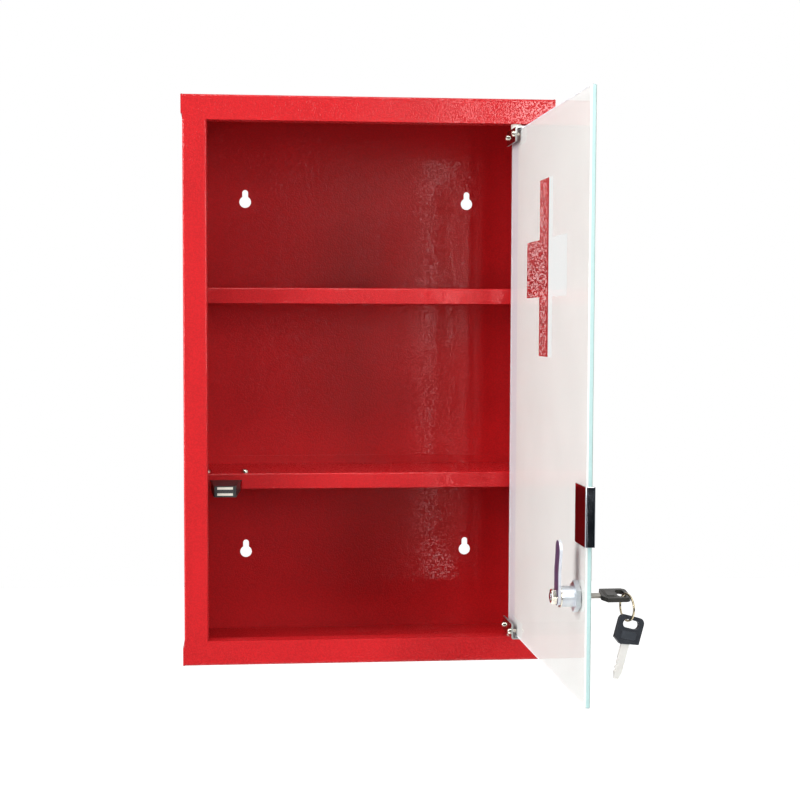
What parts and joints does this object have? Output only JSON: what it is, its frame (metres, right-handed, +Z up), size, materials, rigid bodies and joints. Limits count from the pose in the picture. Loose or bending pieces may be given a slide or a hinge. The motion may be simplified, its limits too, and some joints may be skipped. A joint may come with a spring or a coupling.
{
  "type": "medicine cabinet",
  "caption": "Wall-hung metal medicine cabinet with shelves and a hinged, locking glass door shown open, with a cross on it.",
  "frame": {"origin": "centre of the back panel's outer face, on the wall plane", "axes": "+Z up, +Y into the wall, +X to the right as seen from the front"},
  "size_m": [0.3174, 0.3832, 0.46],
  "materials": {
    "red_paint": "hammer texture, semi-gloss",
    "glass": "printed white on the inner face",
    "chrome": "polished",
    "zinc": "bright zinc",
    "black_plastic": "satin",
    "ferrite": "matt",
    "nylon": "matt"
  },
  "bodies": {
    "case": {"case_wrap": "red_paint", "top_cap": "red_paint", "bottom_cap": "red_paint", "upper_shelf": "red_paint", "lower_shelf": "red_paint", "pivot_bushes": "nylon", "catch_housing": "black_plastic", "catch_magnet": "ferrite", "catch_poles": "zinc", "catch_screws": "zinc"},
    "door": {"door_glass": "glass", "top_hinge_clip": "chrome", "bottom_hinge_clip": "chrome", "pivot_pins": "zinc", "clip_screws": "zinc", "handle_clip": "chrome", "lock_body": "chrome", "lock_nut": "chrome"},
    "lock_core": {"lock_plug": "chrome", "stop_washer": "zinc", "lock_cam": "zinc", "cam_nut": "zinc"},
    "key": {"key_blade": "zinc", "key_head": "black_plastic"},
    "ring": {"key_ring": "zinc"},
    "spare_key": {"spare_key_blade": "zinc", "spare_key_head": "black_plastic"}
  },
  "joints": [
    {"name": "door_hinge", "type": "hinge", "parent": "case", "child": "door", "pos_m": [0.12014, -0.134, 0], "axis": [0, 0, 1], "range_deg": [-90.9, 24]},
    {"name": "lock_turn", "type": "hinge", "parent": "door", "child": "lock_core", "pos_m": [0.12177, -0.36114, -0.134], "axis": [0.9999, 0.016, 0], "range_deg": [0, 90]},
    {"name": "key_pull", "type": "slide", "parent": "lock_core", "child": "key", "axis": [0.9999, 0.016, 0], "range_m": [0, 0.03]},
    {"name": "ring_swing", "type": "hinge", "parent": "key", "child": "ring", "pos_m": [0.15367, -0.36806, -0.13518], "axis": [-0.9617, -0.2742, 0], "range_deg": [-20, 15]},
    {"name": "spare_key_swing", "type": "hinge", "parent": "ring", "child": "spare_key", "pos_m": [0.15367, -0.36806, -0.14976], "axis": [0.2742, -0.9617, 0], "range_deg": [-12, 30]}
  ]
}
